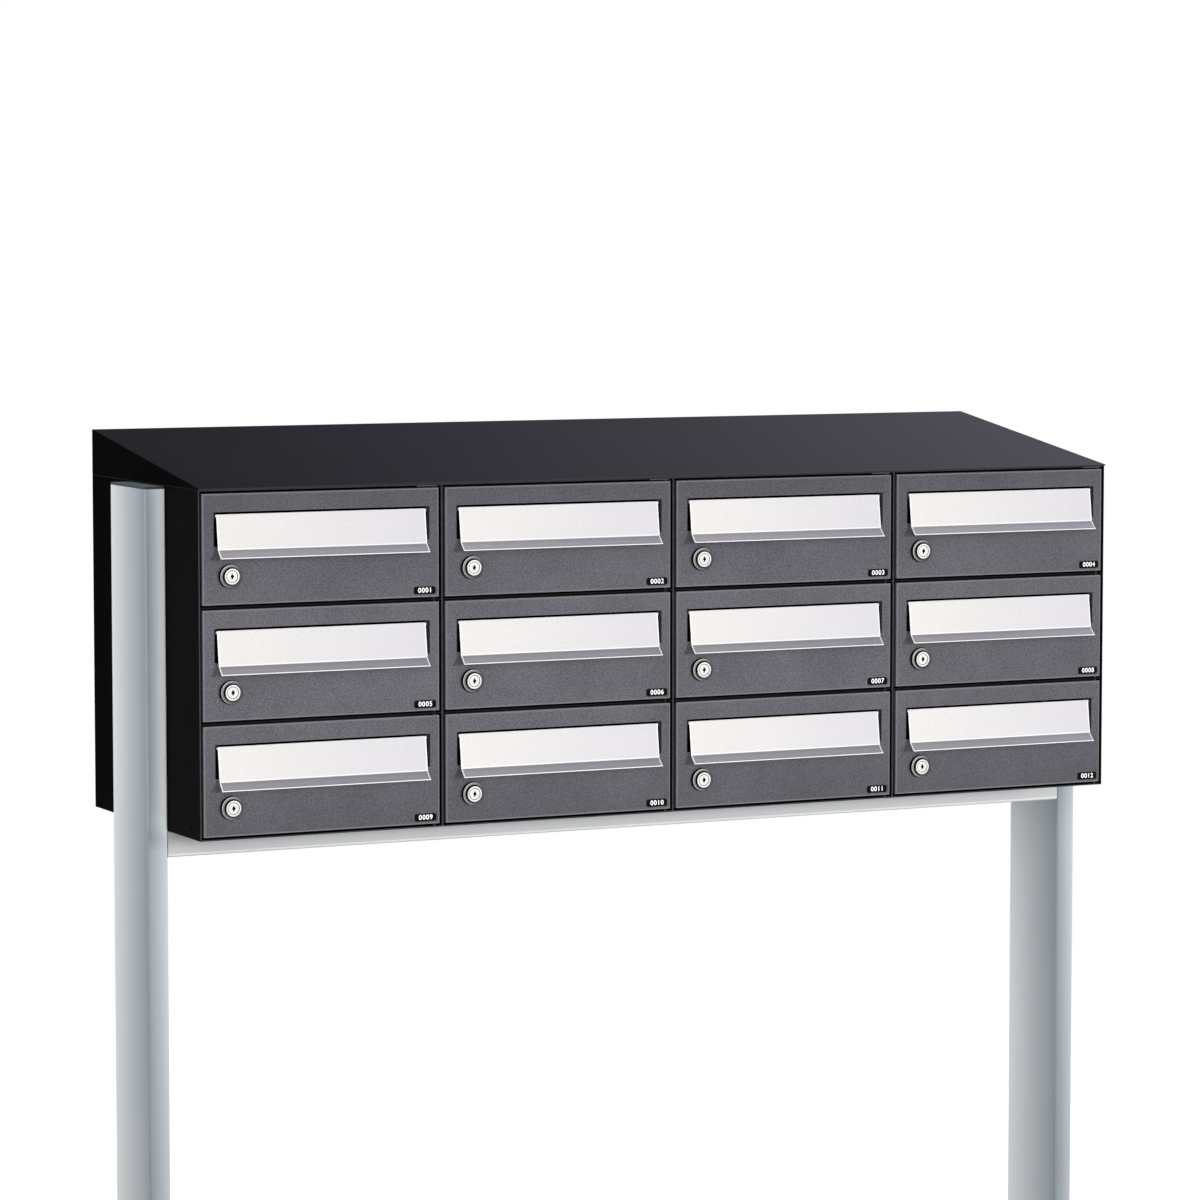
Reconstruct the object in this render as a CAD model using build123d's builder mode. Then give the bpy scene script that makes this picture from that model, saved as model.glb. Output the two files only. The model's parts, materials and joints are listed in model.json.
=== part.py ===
"""Letterbox cabinet of twelve front-opening compartments between two posts.

Millimetres. The origin is on the ground, midway between the posts and midway
between the cabinet's back and its foremost flap edge. +Z is up and the doors face -Y.
"""
from build123d import *
from math import cos, atan2
import os

os.makedirs("parts", exist_ok=True)

# Compartments and cabinet
columns = 4
rows = 3
pitch_x = 330.0            # width of one compartment
pitch_z = 145.0            # height of one compartment
cabinet_depth = 385.0      # door face to the back
end_margin = 1.5           # added above the top row and below the bottom row
sheet = 1.5                # sides, back, top, bottom and shelves
partition_sheet = 2.0
frame_setback = 1.5        # front edges of the frame behind the door faces
ground_clearance = 800.0   # ground to the cabinet's underside

# Holes for coupling a neighbouring cabinet, in both side panels
coupling_hole_r = 2.5
coupling_front = 34.0      # front column of holes behind the door faces
coupling_rear = 38.0       # rear column of holes ahead of the back
coupling_low = 14.0        # lowest holes above the underside
coupling_mid = 160.0       # middle holes above the underside
coupling_high = 17.0       # highest holes below the top

# Roof
roof_rise = 60.0           # rear edge above the cabinet's top
roof_overhang = 2.0        # front edge ahead of the door faces
roof_sheet = 1.5
roof_flange = 16.0         # inward flange that rests on the cabinet's top

# Doors
door_gap_x = 9.0           # between neighbouring doors
door_gap_z = 6.0
door_depth = 18.0          # depth of the folded edges
door_sheet = 1.5
door_bend = 2.0            # outer bend radius along the face's edges
hinge_inset_x = 5.75       # hinge axis from the door's right edge
hinge_inset_y = 5.0        # hinge axis behind the door's face
hinge_pin_r = 1.75
hinge_engagement = 4.5     # pin beyond the door's edge, into the door
hinge_plate_length = 28.0  # plate that carries each top pin
hinge_plate_depth = 12.0
hinge_plate_sheet = 1.2
hinge_plate_end = 4.0      # plate beyond its pin, on the hinge side

# Letter slot and flap
slot_width = 289.0
slot_height = 43.0
slot_drop = 23.0           # slot's upper edge below the door's top edge
flap_sheet = 1.0
flap_end_gap = 3.0         # flap's end to the slot's side
flap_top_gap = 3.0         # flap's rolled edge to the slot's upper edge
flap_plate_drop = 42.0     # hinge axis down to the bend of the lip
flap_plate_lean = 5.5      # that bend ahead of the flap's top
flap_lip_drop = 9.8
flap_lip_reach = 9.2
flap_bend = 1.5
flap_hem_r = 0.9
flap_roll_r = 2.0          # rolled top edge around the hinge axis
flap_pin_r = 1.25
lug_sheet = 1.5
lug_depth = 5.0
lug_height = 8.0

# Lock
lock_inset_x = 36.5        # axis from the door's left edge
lock_inset_z = 36.0        # axis above the door's bottom edge
rosette_r = 14.5
rosette_rim = 5.0          # rim's front ahead of the door's face
rosette_rim_width = 3.2
rosette_floor = 1.0
lock_head_r = 10.25
lock_head_reach = 8.0
lock_edge = 0.5
barrel_r = 9.0
barrel_length = 20.0       # behind the door's face
nut_across_flats = 24.0
nut_thickness = 4.0
plug_r = 7.1
plug_recess = 0.4          # plug's face behind the head's face
keyway_width = 1.8
keyway_height = 6.5
keyway_depth = 8.0
cam_length = 33.0          # axis to the cam's tip
cam_sheet = 2.0
cam_root_r = 7.5
cam_tip_r = 5.0
cam_screw_r = 4.5
cam_screw_head = 2.6
cam_socket_r = 2.0
catch_reach = 14.0         # catch plate out from the compartment's left wall
catch_height = 20.0

# Posts and rail
post_width = 28.0          # across the cabinet
post_depth = 125.0
post_wall = 2.5
post_corner = 3.0
post_setback = 115.5       # post's front behind the door faces
post_drop = 1.0            # cap's top below the cabinet's top
cap_thickness = 3.0
cap_plug = 12.0
base_plate_width = 110.0
base_plate_depth = 200.0
base_plate_thickness = 8.0
base_plate_corner = 8.0
anchor_spacing_x = 70.0
anchor_spacing_y = 160.0
anchor_hole_r = 6.5
rail_height = 34.0
rail_depth = 60.0
rail_wall = 2.0
rail_corner = 3.0
rail_end_plate = 4.0

# Fasteners
post_bolt_r = 4.0
post_bolt_head_r = 6.5
post_bolt_head = 5.3
post_bolt_flange_r = 8.5
post_bolt_flange = 1.6
post_bolt_spread = 70.0
rail_bolt_spread = 30.0
rail_screw_r = 3.0
rail_screw_head_r = 5.25
rail_screw_head = 3.3
roof_screw_r = 2.5
roof_screw_head_r = 4.75
roof_screw_head = 2.8
roof_screw_inset = 60.0    # from the roof's front and rear edges
screw_head_taper = 18.0    # degrees
thread_end = 3.5           # thread beyond the last sheet it holds

# Clearances
running = 0.05             # radial, between a pin or plug and its hole
seating = 0.05             # radial, between a fixed shank and its hole
bolt_clearance = 0.2       # radial, around a bolt
free = 0.3                 # between pieces that pass each other

# Main planes
cabinet_width = columns * pitch_x
cabinet_height = rows * pitch_z + 2 * end_margin
flap_reach = flap_plate_lean + flap_lip_reach + flap_hem_r
left_x = -cabinet_width / 2
right_x = cabinet_width / 2
base_z = ground_clearance
top_z = base_z + cabinet_height
door_face = -(cabinet_depth - flap_reach) / 2
frame_front = door_face + frame_setback
back_y = door_face + cabinet_depth
inner_back_y = back_y - sheet
frame_mid_y = (frame_front + inner_back_y) / 2
frame_depth = inner_back_y - frame_front

# First compartment: bottom row, left column
door_width = pitch_x - door_gap_x
door_height = pitch_z - door_gap_z
door_left = left_x + door_gap_x / 2
door_mid_x = door_left + door_width / 2
door_bottom = base_z + end_margin + door_gap_z / 2
door_top = door_bottom + door_height
door_mid_z = (door_bottom + door_top) / 2
hinge_x = door_left + door_width - hinge_inset_x
hinge_y = door_face + hinge_inset_y
lock_x = door_left + lock_inset_x
lock_z = door_bottom + lock_inset_z
slot_top = door_top - slot_drop
slot_bottom = slot_top - slot_height
flap_axis_y = door_face + flap_roll_r
flap_axis_z = slot_top - flap_top_gap - flap_roll_r
cam_y = door_face + barrel_length + free
catch_y = cam_y - free - sheet

# Posts and rail
post_x = cabinet_width / 2 + post_width / 2
post_front = door_face + post_setback
post_y = post_front + post_depth / 2
post_top = top_z - post_drop - cap_thickness
rail_y = post_front + rail_depth / 2
rail_z = base_z - rail_height / 2

post_bolt_ys = [post_y - post_bolt_spread / 2, post_y + post_bolt_spread / 2]
post_bolt_zs = [base_z + end_margin + (row + 0.5) * pitch_z for row in (0, rows - 1)]
post_bolt_spots = [(y, z) for y in post_bolt_ys for z in post_bolt_zs]
rail_bolt_spots = [(rail_y + side * rail_bolt_spread / 2, rail_z) for side in (-1, 1)]
column_middles = [left_x + (column + 0.5) * pitch_x for column in range(columns)]
hinge_xs = [hinge_x + column * pitch_x for column in range(columns)]
shelf_zs = [base_z + end_margin + row * pitch_z for row in range(1, rows)]
roof_screw_x = cabinet_width / 2 - roof_sheet - roof_flange / 2
roof_screw_ys = [door_face + roof_screw_inset, back_y - roof_screw_inset]
roof_screw_spots = [(side * roof_screw_x, y) for side in (-1, 1) for y in roof_screw_ys]
catch_zs = [lock_z + row * pitch_z for row in range(rows)]


def front_plane(y):
    """Upright plane at y whose local axes are X and Z; positive extrusion is towards -Y."""
    return Plane.XZ.offset(-y)


def facing(x, y, z, direction):
    """Plane at a point whose normal is the given direction."""
    return Plane(origin=(x, y, z), z_dir=direction)


def save(piece, name):
    """Label a finished piece and write it as the node of that name."""
    piece.label = name
    export_step(piece, f"parts/{name}.step")


# ---------------------------------------------------------------- cabinet sheets
def side_panel(outer_x, inward):
    """Flat side sheet with its coupling holes and the holes of the post bolts."""
    coupling_ys = [door_face + coupling_front, back_y - coupling_rear]
    coupling_zs = [base_z + coupling_low, base_z + coupling_mid, top_z - coupling_high]
    coupling_spots = [(y, z) for y in coupling_ys for z in coupling_zs]
    with BuildPart() as panel:
        with BuildSketch(Plane.YZ.offset(outer_x)):
            with Locations(((frame_front + back_y) / 2, (base_z + top_z) / 2)):
                Rectangle(back_y - frame_front, cabinet_height)
            with Locations(*coupling_spots):
                Circle(coupling_hole_r, mode=Mode.SUBTRACT)
            with Locations(*post_bolt_spots):
                Circle(post_bolt_r + bolt_clearance, mode=Mode.SUBTRACT)
        extrude(amount=inward * sheet)
    return panel.part


def catch_plates(wall_xs):
    """Upright plates on each compartment's left wall, behind which the lock cams turn."""
    with BuildPart() as plates:
        for wall_x in wall_xs:
            for z in catch_zs:
                with BuildSketch(front_plane(catch_y)):
                    with Locations((wall_x + catch_reach / 2, z)):
                        Rectangle(catch_reach, catch_height)
                extrude(amount=-sheet)
    return plates.part


def level_sheet(low_z, holes):
    """Top or bottom sheet between the side panels; holes is a list of (radius, spots)."""
    with BuildPart() as level:
        with BuildSketch(Plane.XY.offset(low_z)):
            with Locations((0, frame_mid_y)):
                Rectangle(cabinet_width - 2 * sheet, frame_depth)
            for radius, spots in holes:
                with Locations(*spots):
                    Circle(radius, mode=Mode.SUBTRACT)
        extrude(amount=sheet)
    return level.part


hinge_holes = (hinge_pin_r + seating, [(x, hinge_y) for x in hinge_xs])
rail_screw_holes = (rail_screw_r + bolt_clearance, [(x, rail_y) for x in column_middles])
roof_screw_holes = (roof_screw_r + bolt_clearance, roof_screw_spots)

left_catches = catch_plates([left_x + sheet])
left_side_panel = Compound(children=[side_panel(left_x, 1), left_catches])
save(left_side_panel, "left_side_panel")
save(side_panel(right_x, -1), "right_side_panel")

top_sheet = level_sheet(top_z - sheet, [hinge_holes, roof_screw_holes])
bottom_sheet = level_sheet(base_z, [hinge_holes, rail_screw_holes])
save(Compound(children=[top_sheet, bottom_sheet]), "top_and_bottom_panels")

with BuildPart() as back_panel:
    with BuildSketch(front_plane(inner_back_y)):
        with Locations((0, (base_z + top_z) / 2)):
            Rectangle(cabinet_width - 2 * sheet, cabinet_height)
    extrude(amount=-sheet)
save(back_panel.part, "back_panel")

partition_xs = [left_x + column * pitch_x for column in range(1, columns)]
with BuildPart() as partition_sheets:
    for x in partition_xs:
        with BuildSketch(Plane.YZ.offset(x - partition_sheet / 2)):
            with Locations((frame_mid_y, (base_z + top_z) / 2)):
                Rectangle(frame_depth, cabinet_height - 2 * sheet)
        extrude(amount=partition_sheet)
partition_catches = catch_plates([x + partition_sheet / 2 for x in partition_xs])
save(Compound(children=[partition_sheets.part, partition_catches]), "partitions")


def wall_faces(column):
    """Left and right wall faces of one column of compartments."""
    left = left_x + sheet if column == 0 else left_x + column * pitch_x + partition_sheet / 2
    last = column == columns - 1
    right = right_x - sheet if last else left_x + (column + 1) * pitch_x - partition_sheet / 2
    return left, right


with BuildPart() as shelves:
    for column in range(columns):
        left, right = wall_faces(column)
        for z in shelf_zs:
            with BuildSketch(Plane.XY.offset(z - sheet / 2)):
                with Locations(((left + right) / 2, frame_mid_y)):
                    Rectangle(right - left, frame_depth)
                with Locations((hinge_xs[column], hinge_y)):
                    Circle(hinge_pin_r + seating, mode=Mode.SUBTRACT)
            extrude(amount=sheet)
save(shelves.part, "shelves")

# ---------------------------------------------------------------- roof
with BuildPart() as roof:
    with BuildSketch(Plane.YZ) as wedge:
        with BuildLine():
            Polyline(
                (door_face - roof_overhang, top_z),
                (door_face - roof_overhang, top_z + roof_sheet),
                (back_y, top_z + roof_rise),
                (back_y, top_z),
                close=True,
            )
        make_face()
    extrude(amount=cabinet_width / 2, both=True)
    with BuildSketch(Plane.YZ):
        offset(wedge.sketch_local, amount=-roof_sheet, kind=Kind.INTERSECTION)
    extrude(amount=cabinet_width / 2 - roof_sheet, both=True, mode=Mode.SUBTRACT)
    window_front = door_face + roof_flange
    window_back = back_y - roof_sheet - roof_flange
    with BuildSketch(Plane.XY.offset(top_z)):
        with Locations((0, (window_front + window_back) / 2)):
            window_width = cabinet_width - 2 * (roof_sheet + roof_flange)
            Rectangle(window_width, window_back - window_front)
        with Locations(*roof_screw_spots):
            Circle(roof_screw_r + seating)
    extrude(amount=roof_sheet, mode=Mode.SUBTRACT)
save(roof.part, "roof")

# ---------------------------------------------------------------- posts, caps and rail
with BuildPart() as posts:
    for side in (-1, 1):
        with BuildSketch(Plane.XY):
            with Locations((side * post_x, post_y)):
                RectangleRounded(base_plate_width, base_plate_depth, base_plate_corner)
                with GridLocations(anchor_spacing_x, anchor_spacing_y, 2, 2):
                    Circle(anchor_hole_r, mode=Mode.SUBTRACT)
        extrude(amount=base_plate_thickness)
        with BuildSketch(Plane.XY.offset(base_plate_thickness)):
            with Locations((side * post_x, post_y)):
                RectangleRounded(post_width, post_depth, post_corner)
                Rectangle(post_width - 2 * post_wall, post_depth - 2 * post_wall,
                          mode=Mode.SUBTRACT)
        extrude(amount=post_top - base_plate_thickness)
        with BuildSketch(Plane.YZ.offset(side * cabinet_width / 2)):
            with Locations(*post_bolt_spots, *rail_bolt_spots):
                Circle(post_bolt_r + bolt_clearance)
        extrude(amount=side * post_wall, mode=Mode.SUBTRACT)
save(posts.part, "posts")

with BuildPart() as post_caps:
    for side in (-1, 1):
        with BuildSketch(Plane.XY.offset(post_top)):
            with Locations((side * post_x, post_y)):
                RectangleRounded(post_width, post_depth, post_corner)
        extrude(amount=cap_thickness)
        plug_width = post_width - 2 * (post_wall + seating)
        plug_depth = post_depth - 2 * (post_wall + seating)
        with BuildSketch(Plane.XY.offset(post_top)):
            with Locations((side * post_x, post_y)):
                Rectangle(plug_width, plug_depth)
                Rectangle(plug_width - 2 * post_wall, plug_depth - 2 * post_wall,
                          mode=Mode.SUBTRACT)
        extrude(amount=-cap_plug)
save(post_caps.part, "post_caps")

with BuildPart() as rail:
    with BuildSketch(Plane.YZ):
        with Locations((rail_y, rail_z)):
            RectangleRounded(rail_depth, rail_height, rail_corner)
    extrude(amount=cabinet_width / 2, both=True)
    with BuildSketch(Plane.YZ):
        with Locations((rail_y, rail_z)):
            Rectangle(rail_depth - 2 * rail_wall, rail_height - 2 * rail_wall)
    extrude(amount=cabinet_width / 2 - rail_end_plate, both=True, mode=Mode.SUBTRACT)
    for side in (-1, 1):
        with BuildSketch(Plane.YZ.offset(side * cabinet_width / 2)):
            with Locations(*rail_bolt_spots):
                Circle(post_bolt_r + seating)
        extrude(amount=-side * rail_end_plate, mode=Mode.SUBTRACT)
    with BuildSketch(Plane.XY.offset(base_z)):
        with Locations(*[(x, rail_y) for x in column_middles]):
            Circle(rail_screw_r + seating)
    extrude(amount=-rail_wall, mode=Mode.SUBTRACT)
save(rail.part, "rail")


# ---------------------------------------------------------------- fasteners
def post_bolt(seat, grip):
    """Flanged hexagon bolt on a seat plane; the head stands on the plane's normal."""
    with BuildSketch(seat) as flange:
        Circle(post_bolt_flange_r)
    extrude(flange.sketch, amount=post_bolt_flange)
    with BuildSketch(seat.offset(post_bolt_flange)) as head:
        RegularPolygon(post_bolt_head_r, 6, major_radius=False)
    extrude(head.sketch, amount=post_bolt_head)
    with BuildSketch(seat) as shank:
        Circle(post_bolt_r)
    extrude(shank.sketch, amount=-(grip + thread_end))


def button_screw(seat, shank_r, head_r, head_height, grip):
    """Round-headed screw on a seat plane, with a hexagon socket."""
    with BuildSketch(seat) as head:
        Circle(head_r)
    extrude(head.sketch, amount=head_height, taper=screw_head_taper)
    with BuildSketch(seat.offset(head_height)) as socket:
        RegularPolygon(shank_r / 2, 6, major_radius=False)
    extrude(socket.sketch, amount=-head_height / 2, mode=Mode.SUBTRACT)
    with BuildSketch(seat) as shank:
        Circle(shank_r)
    extrude(shank.sketch, amount=-(grip + thread_end))


with BuildPart() as cabinet_fasteners:
    for side in (-1, 1):
        for y, z in post_bolt_spots:
            inner_face = side * (cabinet_width / 2 - sheet)
            post_bolt(facing(inner_face, y, z, (-side, 0, 0)), sheet + post_wall)
        for y, z in rail_bolt_spots:
            wall_inside = side * (cabinet_width / 2 + post_wall)
            post_bolt(facing(wall_inside, y, z, (side, 0, 0)), post_wall + rail_end_plate)
    for x in column_middles:
        button_screw(facing(x, rail_y, base_z + sheet, (0, 0, 1)), rail_screw_r,
                     rail_screw_head_r, rail_screw_head, sheet + rail_wall)
    for x, y in roof_screw_spots:
        button_screw(facing(x, y, top_z - sheet, (0, 0, -1)), roof_screw_r,
                     roof_screw_head_r, roof_screw_head, sheet + roof_sheet)
save(cabinet_fasteners.part, "cabinet_fasteners")


def hinge_pin(x, low_z, high_z):
    """Upright pin that a door turns on."""
    with BuildSketch(facing(x, hinge_y, low_z, (0, 0, 1))) as section:
        Circle(hinge_pin_r)
    extrude(section.sketch, amount=high_z - low_z)


with BuildPart() as hinge_pins:
    for x in hinge_xs:
        hinge_pin(x, base_z, door_bottom + hinge_engagement)
        for row in range(1, rows):
            lower_door_top = door_top + (row - 1) * pitch_z
            upper_door_bottom = door_bottom + row * pitch_z
            hinge_pin(x, lower_door_top - hinge_engagement, upper_door_bottom + hinge_engagement)
        hinge_pin(x, door_top + (rows - 1) * pitch_z - hinge_engagement, top_z)
        plate_mid_x = x + hinge_plate_end - hinge_plate_length / 2
        plate_mid_y = frame_front + hinge_plate_depth / 2
        with BuildSketch(facing(plate_mid_x, plate_mid_y, top_z - sheet, (0, 0, -1))):
            Rectangle(hinge_plate_length, hinge_plate_depth)
        extrude(amount=hinge_plate_sheet)
save(hinge_pins.part, "hinge_pins")

# ---------------------------------------------------------------- door
plate_lean_angle = atan2(flap_plate_lean, flap_plate_drop)
sill_fall = flap_axis_z - slot_bottom
sill_reach = (sill_fall * flap_plate_lean / flap_plate_drop
              - flap_sheet / cos(plate_lean_angle) - free)

with BuildPart() as door:
    with BuildSketch(front_plane(door_face)):
        with Locations((door_mid_x, door_mid_z)):
            Rectangle(door_width, door_height)
    extrude(amount=-door_depth)
    fillet(door.faces().sort_by(Axis.Y)[0].edges(), radius=door_bend)
    with BuildSketch(front_plane(door_face + door_sheet)):
        with Locations((door_mid_x, door_mid_z)):
            Rectangle(door_width - 2 * door_sheet, door_height - 2 * door_sheet)
    extrude(amount=-door_depth, mode=Mode.SUBTRACT)
    # Letter slot and the hole of the lock barrel
    with BuildSketch(front_plane(door_face)):
        with Locations((door_mid_x, (slot_top + slot_bottom) / 2)):
            Rectangle(slot_width, slot_height)
        with Locations((lock_x, lock_z)):
            Circle(barrel_r + seating)
    extrude(amount=-door_sheet, mode=Mode.SUBTRACT)
    # Sill folded outwards below the slot: letters slide over it and the flap rests on it
    with BuildSketch(front_plane(door_face + door_sheet)):
        with Locations((door_mid_x, slot_bottom - door_sheet / 2)):
            Rectangle(slot_width - 2 * flap_end_gap, door_sheet)
    extrude(amount=door_sheet + sill_reach)
    # Lugs folded inwards at the slot's upper corners, with the holes of the flap's pins
    for side in (-1, 1):
        lug_mid_x = door_mid_x + side * (slot_width - lug_sheet) / 2
        with BuildSketch(front_plane(door_face)):
            with Locations((lug_mid_x, slot_top - lug_height / 2)):
                Rectangle(lug_sheet, lug_height)
        extrude(amount=-lug_depth)
    with BuildSketch(facing(door_mid_x, flap_axis_y, flap_axis_z, (1, 0, 0))):
        Circle(flap_pin_r + running)
    extrude(amount=slot_width / 2, both=True, mode=Mode.SUBTRACT)
    # Holes of the hinge pins in the upper and lower edges
    with BuildSketch(facing(hinge_x, hinge_y, door_mid_z, (0, 0, 1))):
        Circle(hinge_pin_r + running)
    extrude(amount=door_height / 2, both=True, mode=Mode.SUBTRACT)

# ---------------------------------------------------------------- flap
flap_length = slot_width - 2 * flap_end_gap
bend_y = door_face - flap_plate_lean
bend_z = flap_axis_z - flap_plate_drop
lip_y = bend_y - flap_lip_reach
lip_z = bend_z - flap_lip_drop

with BuildPart() as flap:
    with BuildSketch(Plane.YZ.offset(door_mid_x)):
        with BuildLine():
            face_line = FilletPolyline((door_face, flap_axis_z), (bend_y, bend_z),
                                       (lip_y, lip_z), radius=flap_bend)
            offset(face_line, amount=flap_sheet, side=Side.LEFT)
        make_face()
        with Locations((flap_axis_y, flap_axis_z)):
            Circle(flap_roll_r)
        with Locations((lip_y, lip_z)):
            Circle(flap_hem_r)
    extrude(amount=flap_length / 2, both=True)
    pin_reach = flap_length / 2 + flap_end_gap - free
    with BuildSketch(facing(door_mid_x, flap_axis_y, flap_axis_z, (1, 0, 0))):
        Circle(flap_pin_r)
    extrude(amount=pin_reach, both=True)

# ---------------------------------------------------------------- lock
bore_r = plug_r + running
rim_inner_r = rosette_r - rosette_rim_width


def around_lock(points):
    """Closed face of (depth behind the door's face, radius) points, turned about the lock axis."""
    with BuildSketch(Plane.YZ.offset(lock_x)) as section:
        with BuildLine():
            Polyline(*[(door_face + y, lock_z + r) for y, r in points], close=True)
        make_face()
    revolve(section.sketch, axis=Axis((lock_x, door_face, lock_z), (0, 1, 0)))


with BuildPart() as lock_body:
    around_lock([
        (-lock_head_reach, bore_r),
        (-lock_head_reach, lock_head_r - lock_edge),
        (-lock_head_reach + lock_edge, lock_head_r),
        (-rosette_floor, lock_head_r),
        (-rosette_floor, rim_inner_r),
        (-rosette_rim, rim_inner_r),
        (-rosette_rim, rosette_r - lock_edge),
        (-rosette_rim + lock_edge, rosette_r),
        (0, rosette_r),
        (0, barrel_r),
        (barrel_length, barrel_r),
        (barrel_length, bore_r),
    ])
    with BuildSketch(front_plane(door_face + door_sheet)):
        with Locations((lock_x, lock_z)):
            RegularPolygon(nut_across_flats / 2, 6, major_radius=False)
            Circle(barrel_r + seating, mode=Mode.SUBTRACT)
    extrude(amount=-nut_thickness)

with BuildPart() as lock_cam:
    plug_face = door_face - lock_head_reach + plug_recess
    with BuildSketch(front_plane(plug_face)):
        with Locations((lock_x, lock_z)):
            Circle(plug_r)
    extrude(amount=-(cam_y - plug_face))
    with BuildSketch(front_plane(plug_face)):
        with Locations((lock_x, lock_z)):
            Rectangle(keyway_width, keyway_height)
    extrude(amount=-keyway_depth, mode=Mode.SUBTRACT)
    with BuildSketch(front_plane(cam_y)):
        with Locations((lock_x, lock_z)):
            Circle(cam_root_r)
        with Locations((lock_x, lock_z - cam_length + cam_tip_r)):
            Circle(cam_tip_r)
        make_hull()
    extrude(amount=-cam_sheet)
    with BuildSketch(front_plane(cam_y + cam_sheet)):
        with Locations((lock_x, lock_z)):
            Circle(cam_screw_r)
            RegularPolygon(cam_socket_r, 6, major_radius=False, mode=Mode.SUBTRACT)
    extrude(amount=-cam_screw_head)

# ---------------------------------------------------------------- one set per compartment
# Numbered from 01 at the top left, along each row and then down.
for number in range(rows * columns):
    row_from_top, column = divmod(number, columns)
    shift = Location((column * pitch_x, 0, (rows - 1 - row_from_top) * pitch_z))
    for piece, name in ((door, "door"), (flap, "flap"), (lock_body, "lock_body"),
                        (lock_cam, "lock_cam")):
        save(piece.part.moved(shift), f"{name}_{number + 1:02}")
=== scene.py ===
import json
import math

import bmesh
import bpy
from mathutils import Matrix, Vector

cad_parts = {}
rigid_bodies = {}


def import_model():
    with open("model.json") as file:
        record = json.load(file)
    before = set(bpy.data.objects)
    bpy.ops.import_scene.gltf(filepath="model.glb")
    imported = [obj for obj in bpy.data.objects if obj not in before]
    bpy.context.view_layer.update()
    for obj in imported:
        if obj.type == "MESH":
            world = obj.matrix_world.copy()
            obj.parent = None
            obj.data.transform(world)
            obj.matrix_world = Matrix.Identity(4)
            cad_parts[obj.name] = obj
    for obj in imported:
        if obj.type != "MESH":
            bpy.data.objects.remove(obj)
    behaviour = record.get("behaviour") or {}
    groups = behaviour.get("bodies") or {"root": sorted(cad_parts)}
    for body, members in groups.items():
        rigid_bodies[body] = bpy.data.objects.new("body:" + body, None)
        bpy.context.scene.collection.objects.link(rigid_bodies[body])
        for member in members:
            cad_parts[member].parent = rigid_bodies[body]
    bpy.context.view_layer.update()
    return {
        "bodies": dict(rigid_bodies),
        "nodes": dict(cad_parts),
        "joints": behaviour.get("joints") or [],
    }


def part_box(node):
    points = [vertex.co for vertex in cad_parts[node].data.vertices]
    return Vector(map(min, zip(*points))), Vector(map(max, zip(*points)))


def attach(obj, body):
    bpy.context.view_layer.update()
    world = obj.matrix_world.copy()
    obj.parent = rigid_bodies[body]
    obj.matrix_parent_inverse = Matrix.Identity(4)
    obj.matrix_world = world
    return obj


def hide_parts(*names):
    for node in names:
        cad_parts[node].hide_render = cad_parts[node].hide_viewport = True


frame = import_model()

# ---------------------------------------------------------------- measures from the frame
MM = 0.001
joints = {joint["name"]: joint for joint in frame["joints"]}
numbers = sorted(name.removeprefix("door_") for name in frame["bodies"]
                 if name.startswith("door_"))
door_face = joints["lock_01_turn"]["pos_m"][1]
frame_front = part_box("partitions")[0][1]
roof_low, roof_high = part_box("roof")
door_low, door_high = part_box("door_01")
door_width = door_high[0] - door_low[0]
door_height = door_high[2] - door_low[2]
doors_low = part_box("door_" + numbers[-1])[0][2]
doors_high = door_high[2]
flap_low, flap_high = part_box("flap_01")
flap_width = flap_high[0] - flap_low[0]
flap_height = flap_high[2] - flap_low[2]
flap_pin_end = 2.7 * MM                # pins' ends beyond the plate
flap_bend_height = 10.7 * MM           # bend of the lip above the flap's lowest point
slot_half = 144.5 * MM
slot_drop = 23.0 * MM                  # slot's upper edge below the door's top edge
slot_height = 43.0 * MM
slot_shadow_left = 1.2 * MM                 # painted shadow beside the slot, near black, for the gap and the flap's shadow
slot_shadow_right = 3.0 * MM
unlit_front_right = 3.0 * MM              # stretch at the right end of the front edges left without the painted highlight
post_painted_light_from = doors_low + 9.52 * MM  # height from which the left post's front gets painted light beside the cabinet that shades it
post_painted_light_blur = 34.0 * MM
lock_low, lock_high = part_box("lock_body_01")
rail_low, rail_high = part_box("rail")
rail_height = rail_high[2] - rail_low[2]
cabinet_half = rail_high[0]
cabinet_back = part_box("back_panel")[1][1]
post_low, post_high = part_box("post_caps")
post_depth = post_high[1] - post_low[1]
post_x = (post_high[0] + rail_high[0]) / 2
post_width = post_high[0] - rail_high[0]

# Lock, in millimetres, with y from the door's face, negative towards the front
rosette_r = (lock_high[0] - lock_low[0]) / 2 / MM
rosette_rim = 5.0
rosette_inner_r = 11.3
rosette_floor = 1.0
bezel_thickness = 0.9
bezel_chamfer = 0.4
# Black gasket round the rosette, which also stands in for its contact shadow on the door.
gasket_r = 15.2
gasket_thickness = 0.6
# Black ring on the recess floor round the head: painted shade of the recess.
recess_shade_thickness = 0.5
head_r = 10.25
head_reach = (door_face - lock_low[1]) / MM
head_groove = 0.6
head_groove_depth = 2.5
barrel_r = 9.0
barrel_length = (lock_high[1] - door_face) / MM
thread_pitch = 1.0
thread_depth = 0.35
nut_flats = 24.0
nut_front = 1.5
nut_thickness = 4.0
nut_clearance = 0.05
plug_r = 7.1
plug_clearance = 0.1
plug_recess = 0.4              # behind the front of the head
plug_front = plug_recess - head_reach
keyway_width = 1.8
keyway_height = 6.5
ward_right = 1.4               # wards beside the keyway's slit
ward_left = 0.9
cam_gap = 0.3                  # barrel's end to the cam
cam_front = barrel_length + cam_gap
cam_sheet = 2.0
cam_length = 33.0
cam_root_r = 7.5
cam_tip_r = 5.0
cam_screw_r = 4.5
cam_screw_head = 2.6
cam_socket_r = 2.3

# ---------------------------------------------------------------- camera
camera_aim = Vector((-0.107, door_face, 1.082))
camera_distance = 5.847
camera_turn = math.radians(26.14)      # to the left of straight ahead
camera_rise = math.radians(4.76)       # above the level
camera_lens = 135.7

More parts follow.
